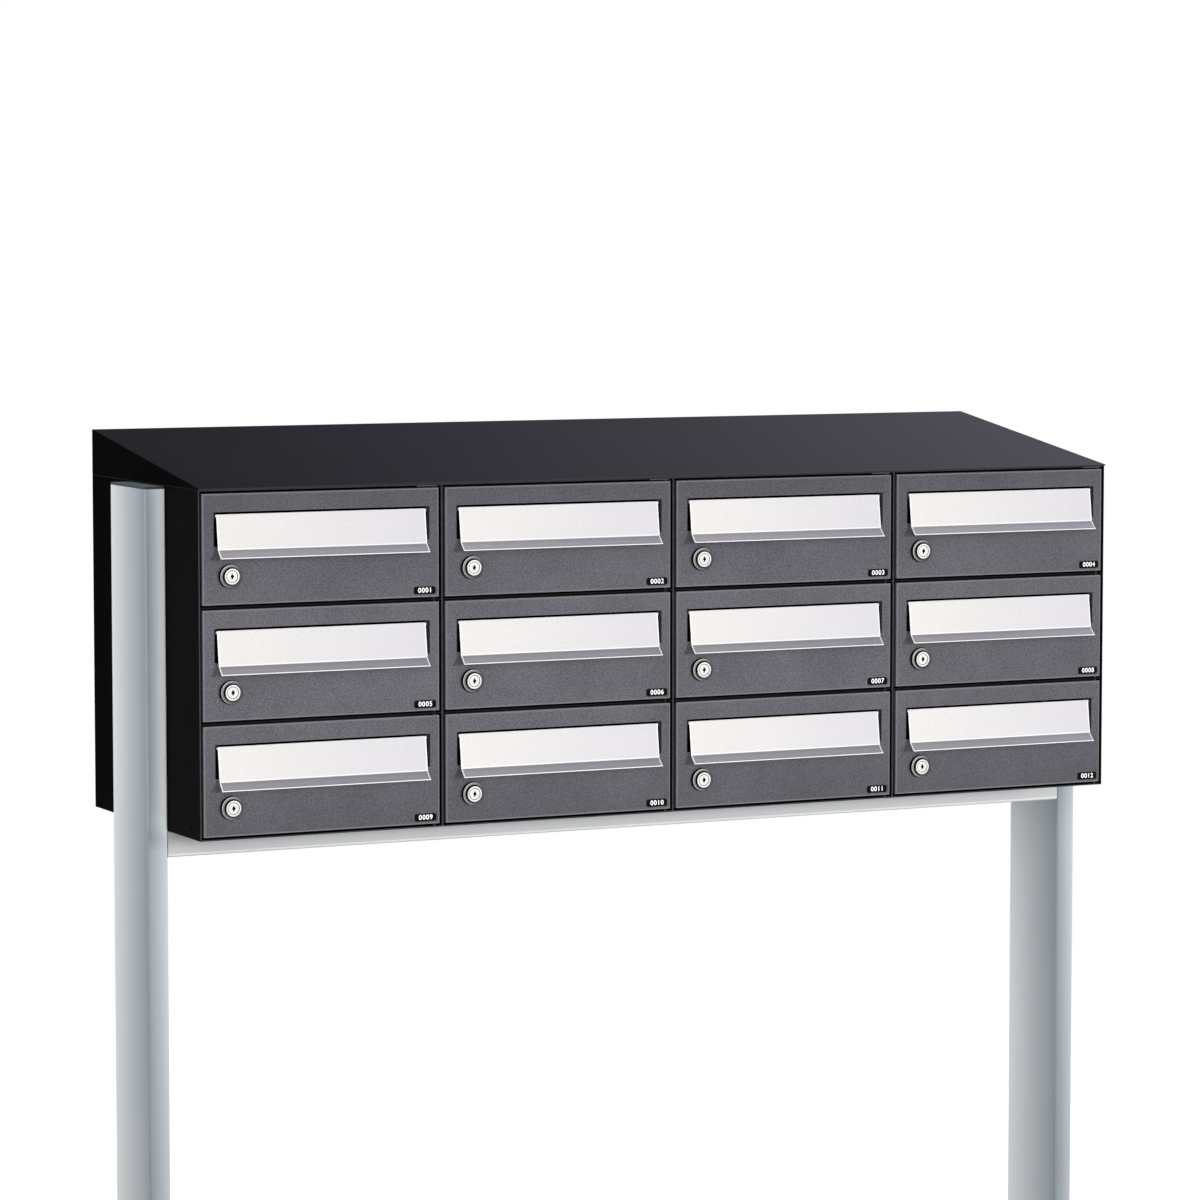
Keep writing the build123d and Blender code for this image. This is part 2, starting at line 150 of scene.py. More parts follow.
camera_data = bpy.data.cameras.new("camera")
camera_data.lens = camera_lens
camera = bpy.data.objects.new("camera", camera_data)
camera_way = Vector((
    math.sin(camera_turn) * math.cos(camera_rise),
    math.cos(camera_turn) * math.cos(camera_rise),
    -math.sin(camera_rise),
))
camera.location = camera_aim - camera_distance * camera_way
camera.rotation_mode = "QUATERNION"
camera.rotation_quaternion = camera_way.to_track_quat("-Z", "Y")
bpy.context.scene.collection.objects.link(camera)
bpy.context.scene.camera = camera
bpy.context.scene.view_settings.view_transform = "Standard"


# ---------------------------------------------------------------- shader arithmetic
class Value:
    """An output socket. Arithmetic on it adds Math nodes to its tree."""

    def __init__(self, tree, socket):
        self.tree = tree
        self.socket = socket

    def math(self, operation, *values):
        return self.tree.node("ShaderNodeMath", {"operation": operation},
                              dict(enumerate(values)))

    def __add__(self, other):
        return self.math("ADD", self, other)

    def __sub__(self, other):
        return self.math("SUBTRACT", self, other)

    def __rsub__(self, other):
        return self.math("SUBTRACT", other, self)

    def __mul__(self, other):
        return self.math("MULTIPLY", self, other)

    def __truediv__(self, other):
        return self.math("DIVIDE", self, other)

    __radd__ = __add__

    def __abs__(self):
        return self.math("ABSOLUTE", self)

    def sign(self):
        return self.math("SIGN", self)

    def root(self):
        return self.math("SQRT", self)

    def smaller(self, other):
        return self.math("MINIMUM", self, other)

    def larger(self, other):
        return self.math("MAXIMUM", self, other)

    def clamped(self):
        return self.larger(0.0).smaller(1.0)

    def reached(self, limit, blur):
        """1 where the value has reached a limit, and 0 where it is the blur short of it."""
        return ((self - limit) / blur + 1).clamped()

    def along(self, middle, reach):
        """1 where the value is at the middle of a stripe, and 0 beyond the reach."""
        return (1 - abs(self - middle) / reach).clamped()


class Tree:
    """The nodes of a material or of the world."""

    def __init__(self, owner):
        owner.use_nodes = True
        self.nodes = owner.node_tree.nodes
        self.links = owner.node_tree.links
        self.nodes.clear()

    def node(self, kind, settings=None, inputs=None, output=0):
        """Adds a node: its settings first, then the values or links of its sockets."""
        node = self.nodes.new(kind)
        for name, value in (settings or {}).items():
            if name == "stops":
                self.set_stops(node.color_ramp, value)
            else:
                setattr(node, name, value)
        for name, value in (inputs or {}).items():
            if isinstance(value, Value):
                self.links.new(value.socket, node.inputs[name])
            else:
                node.inputs[name].default_value = value
        return Value(self, node.outputs[output]) if node.outputs else None

    @staticmethod
    def set_stops(ramp, stops):
        while len(ramp.elements) < len(stops):
            ramp.elements.new(0.5)
        for element, (position, tone) in zip(ramp.elements, stops):
            element.position = position
            element.color = tone

    def place(self):
        """The point being shaded in metres: in the row frame at rest, or from its own
        origin for a piece made here."""
        return self.node("ShaderNodeTexCoord", output="Object")

    def share(self, letter):
        """How far along the piece's own box the point lies, from 0 to 1."""
        return self.axis(self.node("ShaderNodeTexCoord", output="Generated"), letter)

    def axis(self, vector, letter):
        return self.node("ShaderNodeSeparateXYZ", inputs={0: vector}, output=letter)

    def stretched(self, x, y, z):
        """The point being shaded with each axis multiplied."""
        return self.node("ShaderNodeVectorMath", {"operation": "MULTIPLY"},
                         {0: self.place(), 1: (x, y, z)})

    def noise(self, vector, scale=1.0, detail=2.0, roughness=0.5):
        """Noise about 0, from about -0.5 to 0.5."""
        return self.node("ShaderNodeTexNoise", {"noise_dimensions": "3D"},
                         {"Vector": vector, "Scale": scale, "Detail": detail,
                          "Roughness": roughness}) - 0.5

    def between(self, share, first, second):
        """Colour that goes from the first to the second as the share goes from 0 to 1."""
        return self.node("ShaderNodeMix", {"data_type": "RGBA"},
                         {"Factor": share, 6: first, 7: second}, output=2)

    def tinted(self, body, tint):
        return self.node("ShaderNodeMix", {"data_type": "RGBA", "blend_type": "MULTIPLY"},
                         {"Factor": 1.0, 6: body, 7: tint}, output=2)

    def scaled(self, body, factor):
        return self.node("ShaderNodeVectorMath", {"operation": "SCALE"},
                         {0: body, "Scale": factor})

    def capped(self, body, limit):
        """A colour with none of its channels above a limit."""
        return self.node("ShaderNodeVectorMath", {"operation": "MINIMUM"},
                         {0: body, 1: (limit, limit, limit)})

    def ramp(self, share, *stops):
        """Colour that runs through stops of (share, colour)."""
        return self.node("ShaderNodeValToRGB", {"stops": stops}, {"Fac": share})

    def rounded_normal(self, radius):
        return self.node("ShaderNodeBevel", {"samples": 4}, {"Radius": radius})

    def edges(self, radius):
        """Near 1 within a radius of the piece's sharp edges and 0 on its flat faces."""
        plain = self.node("ShaderNodeNewGeometry", output="Normal")
        alike = self.node("ShaderNodeVectorMath", {"operation": "DOT_PRODUCT"},
                          {0: self.rounded_normal(radius), 1: plain}, output="Value")
        return ((1 - alike) * 5.0).clamped()

    def outline(self, width, height, reach, end=0.0):
        """Near 1 along the outline of an upright panel of that size, 0 beyond the reach.
        Its pins stick out by the end on both sides."""
        across = self.share("X")
        up = self.share("Z")
        side_gap = across.smaller(1 - across) * width - end
        end_gap = up.smaller(1 - up) * height
        return (1 - side_gap.smaller(end_gap) / reach).clamped()

    def before(self, letter, limit, blur):
        """1 where the point's coordinate is below a limit, and 0 beyond the blur."""
        return (1 - (self.axis(self.place(), letter) - limit) / blur).clamped()


class Finish(Tree):
    """A material: a Principled shader whose sockets are fed one by one."""

    def __init__(self, name, **constants):
        self.material = bpy.data.materials.new(name)
        super().__init__(self.material)
        shader = self.node("ShaderNodeBsdfPrincipled", inputs={
            socket.replace("_", " "): value for socket, value in constants.items()})
        self.sockets = shader.socket.node.inputs
        self.node("ShaderNodeOutputMaterial", inputs={"Surface": shader})

    def feed(self, socket, value):
        self.links.new(value.socket, self.sockets[socket])

    def relief(self, height, depth, edge_radius=None):
        """Bump as deep as given in metres, on edges that look rounded by the radius."""
        inputs = {"Height": height, "Distance": depth, "Strength": 1.0}
        if edge_radius:
            inputs["Normal"] = self.rounded_normal(edge_radius)
        self.feed("Normal", self.node("ShaderNodeBump", inputs=inputs))


# ---------------------------------------------------------------- finishes
def colour(red, green, blue):
    return (red, green, blue, 1.0)


def grey(value):
    return colour(value, value, value)


front_edge_highlight_grey = colour(0.055, 0.055, 0.058)       # painted highlight on the cabinet's front edges
inside_grey = 0.012                             # compartments' walls
rear_black = colour(0.016, 0.0158, 0.0165)      # cabinet's and roof's faces at the back


def slot_painted_shadow(coat):
    """Painted shadow: 1 on the door's face beside the letter slot, in a stripe that is wider on
    the right.
    """
    from_middle = (coat.share("X") - 0.5) * door_width
    reach = ((slot_shadow_right + slot_shadow_left) / 2
             + from_middle.sign() * ((slot_shadow_right - slot_shadow_left) / 2))
    beside = ((slot_half + reach - abs(from_middle)) / (0.5 * MM)).clamped()
    below_top = (1 - coat.share("Z")) * door_height - slot_drop
    in_height = (below_top / (0.4 * MM)).clamped()
    in_height = in_height * ((slot_height - below_top) / (0.4 * MM)).clamped()
    return beside * in_height * coat.before("Y", door_face + 0.2 * MM, 0.3 * MM)


def door_coat():
    """Fine-textured anthracite powder coat, with a painted highlight over the bends and sharp
    edges, painted light at mid height of the block of doors, painted shade above and below, and a
    painted shadow beside the slot."""
    coat = Finish("door_anthracite", Specular_IOR_Level=0.3)
    place = coat.place()
    fine = coat.noise(place, 1900.0)
    grain = coat.noise(place, 600.0)
    cloud = coat.noise(place, 14.0, 3.0)
    share = (0.5 + grain * 1.9 + fine * 1.0 + cloud * 0.4).clamped()
    body = coat.between(share, colour(0.030, 0.029, 0.035), colour(0.118, 0.116, 0.134))
    # Painted light and shade: brightest at mid height of the block of doors, darker towards the
    # top row under the roof and towards the bottom row.
    off_middle = (coat.axis(place, "Z") - (doors_low + doors_high) / 2) / (doors_high - doors_low)
    body = coat.scaled(body, 1.22 - off_middle * off_middle * 1.2)
    # Painted highlight along the bends and sharp edges, in the paler grey below.
    bend = coat.outline(door_width, door_height, 2.6 * MM)
    bend = bend * coat.before("Y", door_face + 1.0 * MM, 1.5 * MM)
    edge_highlight = (bend * 1.3).clamped().larger(coat.edges(1.0 * MM)) * (0.8 + fine * 0.8)
    body = coat.between(edge_highlight.clamped(), body, colour(0.20, 0.20, 0.215))
    # Painted shadow beside the slot, near black.
    coat.feed("Base Color", coat.between(slot_painted_shadow(coat), body, grey(0.002)))
    coat.feed("Roughness", 0.5 + cloud * 0.12 + grain * 0.2)
    coat.relief(grain + fine, 0.05 * MM)
    return coat.material


def cabinet_coat(name, front_edge_tone, inside=None):
    """Smooth matt black powder coat, with a painted highlight along the sheets' front and sharp
    edges, and painted shade darkening the outer sides towards the back. Inside is the grey of
    walls and floors behind those edges."""
    coat = Finish(name, Specular_IOR_Level=0.007)
    place = coat.place()
    grain = coat.noise(place, 1000.0)
    cloud = coat.noise(place, 12.0, 3.0)
    share = (0.5 + grain * 1.4 + cloud * 0.8).clamped()
    body = coat.between(share, colour(0.0022, 0.0020, 0.0020), colour(0.0065, 0.0060, 0.0062))
    # Painted shade: the outer sides darken towards the back.
    outer = abs(coat.axis(place, "X")).reached(cabinet_half, 0.3 * MM)
    body = coat.between(outer * coat.share("Y"), body, grey(0.0010))
    if inside is not None:
        depth = ((coat.axis(place, "Y") - frame_front) / (20 * MM) - 0.5).clamped()
        body = coat.between(depth, body, coat.between(share, grey(inside), grey(inside * 1.6)))
    rear = coat.axis(place, "Y").reached(cabinet_back, 0.5 * MM)
    body = coat.between(rear, body, rear_black)
    # Painted highlight along the sheets' front edges, short of the right end, and along their
    # sharp edges.
    front = coat.before("Y", frame_front + 0.3 * MM, 0.5 * MM)
    front = front * ((cabinet_half - unlit_front_right - coat.axis(place, "X")) / MM).clamped()
    highlight_colour = coat.between(front, colour(0.012, 0.012, 0.013), front_edge_tone)
    edge_highlight = coat.edges(0.7 * MM).larger(front) * (0.75 + coat.noise(place, 200.0) * 0.9)
    coat.feed("Base Color", coat.between(edge_highlight.clamped(), body, highlight_colour))
    coat.feed("Roughness", 0.5 + cloud * 0.12 + grain * 0.14)
    coat.relief(grain, 0.02 * MM, 0.4 * MM)
    return coat.material


def roof_coat():
    """Black coat of the roof: satin on the slope and glossier to the right, matt on the cheeks,
    with painted highlight lines along the front edge, the eave seam and the sharp edges."""
    coat = Finish("roof_black", Specular_IOR_Level=0.005, Coat_Roughness=0.32, Coat_IOR=1.26,
                  Coat_Tint=colour(0.9, 0.9, 1.0))
    place = coat.place()
    grain = coat.noise(place, 1100.0)
    cloud = coat.noise(place, 7.0, 3.0)
    share = (0.5 + grain * 1.2 + cloud * 0.8).clamped()
    body = coat.between(share, colour(0.0022, 0.0019, 0.0036), colour(0.0048, 0.0042, 0.0072))
    from_cheek = cabinet_half - abs(coat.axis(place, "X"))
    slope = ((from_cheek - 1.0 * MM) / (0.8 * MM)).clamped()
    body = coat.between(slope, grey(0.0022), body)
    rear = coat.axis(place, "Y").reached(roof_high[1], 0.5 * MM)
    body = coat.between(rear, body, rear_black)
    # Painted highlight lines on the front edge, the eave seam and the sharp edges.
    front = coat.before("Y", roof_low[1] + 0.8 * MM, 1.2 * MM)
    seam = coat.before("Z", roof_low[2] + 0.5 * MM, 0.8 * MM)
    edge_highlight = front.larger(seam * 0.5).larger(coat.edges(0.9 * MM) * 0.3)
    coat.feed("Base Color", coat.between(edge_highlight * (0.8 + grain), body,
                                         colour(0.033, 0.033, 0.037)))
    coat.feed("Roughness", 0.5 + cloud * 0.08 + grain * 0.08)
    coat.feed("Coat Weight", slope * (0.55 + coat.share("X") * 0.24 + cloud * 0.06))
    coat.relief(grain, 0.008 * MM, 0.6 * MM)
    return coat.material


def stainless():
    """Stainless sheet ground lengthwise, with painted highlights along its edges and its bend, a
    painted reflection from warm at the left end to cool at the right, and painted shade on the
    lip.
    """
    metal = Finish("flap_stainless")
    lines = metal.noise(metal.stretched(50, 2600, 2600), 1.0, 3.0, 0.6)
    speck = metal.noise(metal.place(), 700.0)
    broad = metal.noise(metal.place(), 11.0, 3.0)
    share = (0.5 + lines * 0.7 + speck * 1.5 + broad * 0.4).clamped()
    ground = metal.between(share, grey(0.80), grey(0.96))
    # Painted reflection: warmer and brighter at the left end, cooler and darker at the right.
    tone = metal.between(metal.share("X"), colour(0.99, 0.955, 0.93), colour(0.85, 0.83, 0.88))
    up = metal.share("Z") * flap_height
    bend = up.along(flap_bend_height + 0.6 * MM, 1.4 * MM)
    lip = ((flap_bend_height - up) / (0.8 * MM)).clamped()
    # Painted shade on the lip, darkest near the bend and palest at its middle.
    lip_painted_shade = metal.ramp(up / flap_bend_height,
                          (0.0, colour(0.82, 0.83, 0.88)), (0.5, colour(0.92, 0.93, 0.98)),
                          (1.0, colour(0.72, 0.73, 0.78)))
    shaded = metal.between(lip, grey(1.0), lip_painted_shade)
    # Painted highlight along the plate's outline, its sharp edges and the bend, where it turns
    # pale matt grey instead of metal.
    rim = metal.outline(flap_width, flap_height, 1.7 * MM, flap_pin_end)
    rim = (rim * 1.8).clamped().larger(metal.edges(0.4 * MM)).larger(bend * 0.8)
    body = metal.tinted(metal.tinted(ground, tone), shaded)
    metal.feed("Base Color", metal.between(rim, body, grey(0.85)))
    metal.feed("Metallic", 1 - rim * 0.9)
    metal.feed("Roughness", 0.34 + lines * 0.12 + broad * 0.08)
    metal.relief(lines, 0.012 * MM, 0.3 * MM)
    return metal.material


def anodised(name, streak, painted_shading):
    """Matt anodised extrusion, shaded as a plain grey. Streak multiplies the axes of its fine die
    lines;
    pattern gives the place on the ramp of greys and the brightness, which paint the light and
    shade across its faces."""
    metal = Finish(name, Metallic=0.0, Specular_IOR_Level=0.3)
    lines = metal.noise(metal.stretched(*streak), 1.0, 3.0, 0.6)
    speck = metal.noise(metal.place(), 1300.0)
    shade, lift = painted_shading(metal)
    # Ramp of greys from painted shade to painted light.
    tone = metal.ramp(shade,
                      (0.0, colour(0.190, 0.220, 0.240)), (0.14, colour(0.235, 0.265, 0.285)),
                      (0.5, colour(0.335, 0.36, 0.38)), (1.0, colour(0.53, 0.54, 0.54)))
    lift = lift * (0.965 + lines * 0.1 + speck * 0.06)
    metal.feed("Base Color", metal.capped(metal.scaled(tone, lift), 0.92))
    metal.feed("Roughness", 0.42 + lines * 0.1 + speck * 0.06)
    metal.relief(lines, 0.01 * MM, 0.6 * MM)
    return metal.material


def post_painted_shading(metal):
    """Painted light and shade on the posts: darkest at a post's front left edge and paler
    upwards; the left post's front gets painted light beside the cabinet, which shades it, and the
    right post's left face is paler."""
    place = metal.place()
    across = metal.axis(place, "X")
    right = across.sign().clamped()
    from_left = (across - across.sign() * post_x) / post_width + 0.5
    from_front = (metal.axis(place, "Y") - post_low[1]) / post_depth
    up = metal.share("Z")
    side = (1 - from_left * 20).clamped()
    # Painted light on the left post's front beside the cabinet, which shades it.
    beside = metal.axis(place, "Z").reached(post_painted_light_from, post_painted_light_blur)
    beside = (1 - right) * beside * (1 - side) * (0.5 + from_left * 1.5)
    lift = 0.82 + up * 0.28 + (up - 0.22).larger(0.0).smaller(0.53) * 0.55
    # Painted shade: the fronts darker towards their left edge.
    shaded = (1 - side) * (1 - from_left) * 0.14
    return from_left * 0.62 + from_front, lift + right * side * 0.13 - shaded + beside


def rail_painted_shading(metal):
    """Painted light and shade on the rail: darkest at the left end, paler to the right and
    downwards away from the cabinet above, with a painted highlight just above the lower edge and
    a painted dark line at that edge."""
    up = metal.share("Z") * rail_height
    line = up.along(2.9 * MM, 1.8 * MM) * 0.4 - up.along(0.0, 2.0 * MM) * 0.35
    from_left = metal.share("X")
    lift = 0.84 + (from_left * 7.0).smaller(1.0) * 0.1 + from_left * 0.09
    return 0.9, lift - up / (350 * MM) + line


def nickel(name, low, high, roughness, painted_shade_behind=None):
    """Plated metal with faint polishing marks, painted near black behind its front where that
    front's
    place in mm is given: painted shade on the head's side wall and inside the keyway."""
    metal = Finish(name, Metallic=1.0)
    marks = metal.noise(metal.place(), 900.0, 3.0)
    cloud = metal.noise(metal.place(), 160.0)
    share = (0.5 + marks * 1.1 + cloud * 0.8).clamped()
    plated = metal.between(share, low, high)
    if painted_shade_behind is not None:
        # Painted shade, near black, behind the front.
        bright = metal.before("Y", (painted_shade_behind + 0.15) * MM, 0.3 * MM)
        plated = metal.between(bright, grey(0.015), plated)
    metal.feed("Base Color", plated)
    metal.feed("Roughness", roughness + marks * 0.12)
    metal.relief(marks, 0.004 * MM, 0.15 * MM)
    return metal.material


def painted_bezel_nickel():
    """Plated ring with a painted reflection, darker to the lower right, and a painted highlight
    line round its outer edge.
    """
    metal = Finish("bezel_nickel", Metallic=1.0, Roughness=0.3)
    place = metal.place()
    across = metal.axis(place, "X")
    up = metal.axis(place, "Z")
    radius = (across * across + up * up).root() / (rosette_r * MM)
    # Painted reflection: paler at the upper left, darker to the lower right.
    share = (0.35 + (up * 0.35 - across) / (1.7 * rosette_r * MM)
             + metal.noise(place, 700.0) * 0.3).clamped()
    # Painted highlight round the outer edge.
    line = ((radius - 0.9) / 0.05).clamped()
    metal.feed("Base Color", metal.between(share, grey(0.10),
                                           metal.between(line, grey(0.30), grey(0.80))))
    metal.relief(metal.noise(place, 900.0), 0.004 * MM, 0.15 * MM)
    return metal.material


def zinc(name, low, high):
    """Zinc-plated steel with its cloudy passivation."""
    metal = Finish(name, Metallic=1.0)
    spangle = metal.noise(metal.place(), 420.0, 3.0)
    cloud = metal.noise(metal.place(), 60.0)
    share = (0.5 + spangle * 1.4 + cloud).clamped()
    metal.feed("Base Color", metal.between(share, low, high))
    metal.feed("Roughness", 0.34 + spangle * 0.2)
    metal.relief(spangle, 0.01 * MM, 0.3 * MM)
    return metal.material


def moulded(name, low, high, roughness, grain_depth, gloss=0.5):
    """Moulded plastic with a fine spark-eroded grain."""
    plastic = Finish(name, Specular_IOR_Level=gloss)
    grain = plastic.noise(plastic.place(), 1800.0)
    cloud = plastic.noise(plastic.place(), 60.0, 3.0)
    share = (0.5 + grain * 0.9 + cloud * 0.9).clamped()
    plastic.feed("Base Color", plastic.between(share, low, high))
    plastic.feed("Roughness", roughness + grain * 0.2 + cloud * 0.1)
    plastic.relief(grain, grain_depth, 0.5 * MM)
    return plastic.material


door_finish = door_coat()
cabinet_finish = cabinet_coat("cabinet_black", front_edge_highlight_grey)
partition_finish = cabinet_coat("partition_black", front_edge_highlight_grey, inside_grey)
# The shelves' front edges keep the inside grey, darker than the painted highlight on the
# partitions' front edges.
shelf_finish = cabinet_coat("shelf_black", grey(inside_grey), inside_grey)
roof_finish = roof_coat()
flap_finish = stainless()
post_finish = anodised("post_aluminium", (1400, 1400, 6), post_painted_shading)
rail_finish = anodised("rail_aluminium", (6, 1400, 1400), rail_painted_shading)
bezel_finish = painted_bezel_nickel()
head_finish = nickel("lock_nickel", colour(0.88, 0.88, 0.87), colour(0.99, 0.99, 0.98), 0.22,
                     -head_reach)
plug_finish = nickel("plug_nickel", colour(0.88, 0.84, 0.79), colour(0.98, 0.95, 0.92), 0.26,
                     plug_front)
zinc_finish = zinc("zinc_steel", colour(0.30, 0.31, 0.33), colour(0.52, 0.53, 0.53))
dull_zinc_finish = zinc("zinc_steel_dull", grey(0.07), grey(0.13))
cap_finish = moulded("cap_dark_grey", colour(0.028, 0.042, 0.046), colour(0.055, 0.074, 0.08),
                     0.45, 0.03 * MM)
# Black rubber of the rosette and its gasket, and the painted shade in the lock's recess.
rubber_and_shade_finish = moulded("rubber_and_shade_black", grey(0.002), grey(0.006), 0.7, 0.01 * MM, 0.02)
plate_finish = moulded("number_plate_black", grey(0.0015), grey(0.004), 0.45, 0.006 * MM, 0.06)
figure_finish = moulded("figure_white", grey(0.86), grey(0.95), 0.5, 0.004 * MM)
weld_finish = nickel("weld_aluminium", colour(0.42, 0.44, 0.46), colour(0.66, 0.68, 0.7), 0.45)

node_finishes = {
    "roof": roof_finish, "posts": post_finish, "rail": rail_finish, "post_caps": cap_finish,
    "shelves": shelf_finish, "partitions": partition_finish,
    "hinge_pins": dull_zinc_finish, "cabinet_fasteners": zinc_finish,
}
family_finishes = {"door": door_finish, "flap": flap_finish, "lock_body": head_finish,
                   "lock_cam": zinc_finish}
for name, node in frame["nodes"].items():
    family = name.rpartition("_")[0]
    finish = node_finishes.get(name) or family_finishes.get(family) or cabinet_finish
    node.data.materials.clear()
    node.data.materials.append(finish)


# ---------------------------------------------------------------- making pieces
round_steps = 96
sharp_angle = math.radians(35)


def rounded(corners, steps=5):
    """Points round an outline whose corners, each (a, b, radius), are turned into curves."""
    points = []
    for index, (a, b, radius) in enumerate(corners):
        corner = Vector((a, b))
        back = (Vector(corners[index - 1][:2]) - corner).normalized()
        on = (Vector(corners[(index + 1) % len(corners)][:2]) - corner).normalized()
        if radius == 0:
            points.append(corner)
            continue
        reach = radius / math.tan(back.angle(on) / 2)
        for step in range(steps + 1):
            share = step / steps
            points.append((1 - share) ** 2 * (corner + back * reach)
                          + 2 * share * (1 - share) * corner
                          + share ** 2 * (corner + on * reach))
    return points


def circle(radius, steps=round_steps):
    return [Vector((radius * math.cos(math.tau * step / steps),
                    radius * math.sin(math.tau * step / steps))) for step in range(steps)]


def oblong(width, height, radius, steps=6):
    """Rounded rectangle round the origin."""
    half = width / 2
    rise = height / 2
    return rounded([(-half, -rise, radius), (half, -rise, radius),
                    (half, rise, radius), (-half, rise, radius)], steps)


def finished(data, finish):
    """Mesh data with its finish, smooth but for its sharp edges."""
    data.materials.append(finish)
    data.polygons.foreach_set("use_smooth", [True] * len(data.polygons))
    data.set_sharp_from_angle(angle=sharp_angle)
    return data


def turned(name, outline, finish):
    """Closed outline of (y, radius) points in mm, turned about the Y axis."""
    mesh = bmesh.new()
    rings = []
    for step in range(round_steps):
        angle = math.tau * step / round_steps
        across = math.cos(angle) * MM
        up = math.sin(angle) * MM
        rings.append([mesh.verts.new((radius * across, y * MM, radius * up))
                      for y, radius in outline])
    for ring, following in zip(rings, rings[1:] + rings[:1]):
        for here in range(len(outline)):
            mesh.faces.new((ring[here - 1], ring[here], following[here], following[here - 1]))
    bmesh.ops.recalc_face_normals(mesh, faces=mesh.faces)
    data = bpy.data.meshes.new(name)
    mesh.to_mesh(data)
    mesh.free()
    return finished(data, finish)


def plate(name, outlines, front, thickness, edge, finish):
    """Flat plate facing -Y, in mm: its front at y, outlines seen from the front, rounded edge."""
    curve = bpy.data.curves.new(name, "CURVE")
    curve.dimensions = "2D"
    curve.fill_mode = "BOTH"
    curve.extrude = (thickness / 2 - edge) * MM
    curve.bevel_depth = edge * MM
    curve.offset = -edge * MM
    curve.bevel_resolution = 2
    for outline in outlines:
        spline = curve.splines.new("POLY")
        spline.points.add(len(outline) - 1)
        for point, (x, z) in zip(spline.points, outline):
            point.co = (x * MM, z * MM, 0, 1)
        spline.use_cyclic_u = True
    holder = bpy.data.objects.new(name, curve)
    data = bpy.data.meshes.new_from_object(holder)
    bpy.data.objects.remove(holder)
    bpy.data.curves.remove(curve)
    data.name = name
    data.transform(Matrix.Translation((0, (front + thickness / 2) * MM, 0))
                   @ Matrix.Rotation(math.pi / 2, 4, "X"))
    return finished(data, finish)


def seat(name, data, place, body):
    """Puts a piece at a place in the row frame and lets it ride on its body."""
    piece = bpy.data.objects.new(name, data)
    piece.location = place
    bpy.context.scene.collection.objects.link(piece)
    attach(piece, body)
    return piece


# ---------------------------------------------------------------- locks
def hexagon(flats, corner):
    radius = flats / math.sqrt(3)
    corners = [(radius * math.cos(math.tau * side / 6), radius * math.sin(math.tau * side / 6),
                corner) for side in range(6)]
    return rounded(corners, 3)


def threaded_barrel():
    """Outline of the lock head with the threaded barrel behind it."""
    bore_r = plug_r + plug_clearance
    groove_r = plug_r + head_groove
    groove_end = head_groove_depth - head_reach
    outline = rounded([
        (-rosette_floor, bore_r, 0), (groove_end, bore_r, 0),
        (groove_end, groove_r, 0), (-head_reach, groove_r, 0.2),
        (-head_reach, head_r, 0.9),
        (-rosette_floor, head_r, 0), (-rosette_floor, barrel_r, 0),
    ])
    crest = nut_front + nut_thickness
    while crest < barrel_length - thread_pitch:
        outline.append(Vector((crest, barrel_r)))
        outline.append(Vector((crest + thread_pitch / 2, barrel_r - thread_depth)))
        crest += thread_pitch
    outline.append(Vector((barrel_length, barrel_r - thread_depth)))
    outline.append(Vector((barrel_length, bore_r)))
    return outline


def cam_outline():
    """Root and tip circles with their outer tangents."""
    drop = cam_length - cam_tip_r
    lean = math.asin((cam_root_r - cam_tip_r) / drop)
    steps = 40
    points = []
    for step in range(steps + 1):
        angle = -lean + (math.pi + 2 * lean) * step / steps
        points.append(Vector((cam_root_r * math.cos(angle), cam_root_r * math.sin(angle))))
    for step in range(steps + 1):
        angle = math.pi + lean + (math.pi - 2 * lean) * step / steps
        points.append(Vector((cam_tip_r * math.cos(angle), cam_tip_r * math.sin(angle) - drop)))
    return points


def keyway_outline():
    """Upright slit with a ward on each side."""
    side = keyway_width / 2
    end = keyway_height / 2
    return rounded([
        (-side, -end, 0.3), (side, -end, 0.3),
        (side, -1.9, 0), (side + ward_right, -0.9, 0.2),
        (side + ward_right, 1.1, 0.2), (side, 2.1, 0),
        (side, end, 0.3), (-side, end, 0.3),
        (-side, 1.5, 0), (-side - ward_left, 0.7, 0.2),
        (-side - ward_left, -0.9, 0.2), (-side, -1.7, 0),
    ])


bezel_back = bezel_thickness - rosette_rim
recess_shade_front = -rosette_floor - recess_shade_thickness
# Black rosette body and gasket, which also stand in for the shade round the lock.
rosette_data = turned("lock_rosette", rounded([
    (0, barrel_r, 0), (-rosette_floor, barrel_r, 0), (-rosette_floor, rosette_inner_r, 0.2),
    (bezel_back, rosette_inner_r, 0.1), (bezel_back, rosette_r, 0.2),
    (-gasket_thickness, rosette_r, 0), (-gasket_thickness, gasket_r, 0.2), (0, gasket_r, 0),
]), rubber_and_shade_finish)
bezel_data = turned("lock_bezel", rounded([
    (bezel_back, rosette_inner_r, 0), (-rosette_rim, rosette_inner_r, 0.3),
    (bezel_chamfer - rosette_rim, rosette_r, 0.35), (bezel_back, rosette_r, 0),
]), bezel_finish)
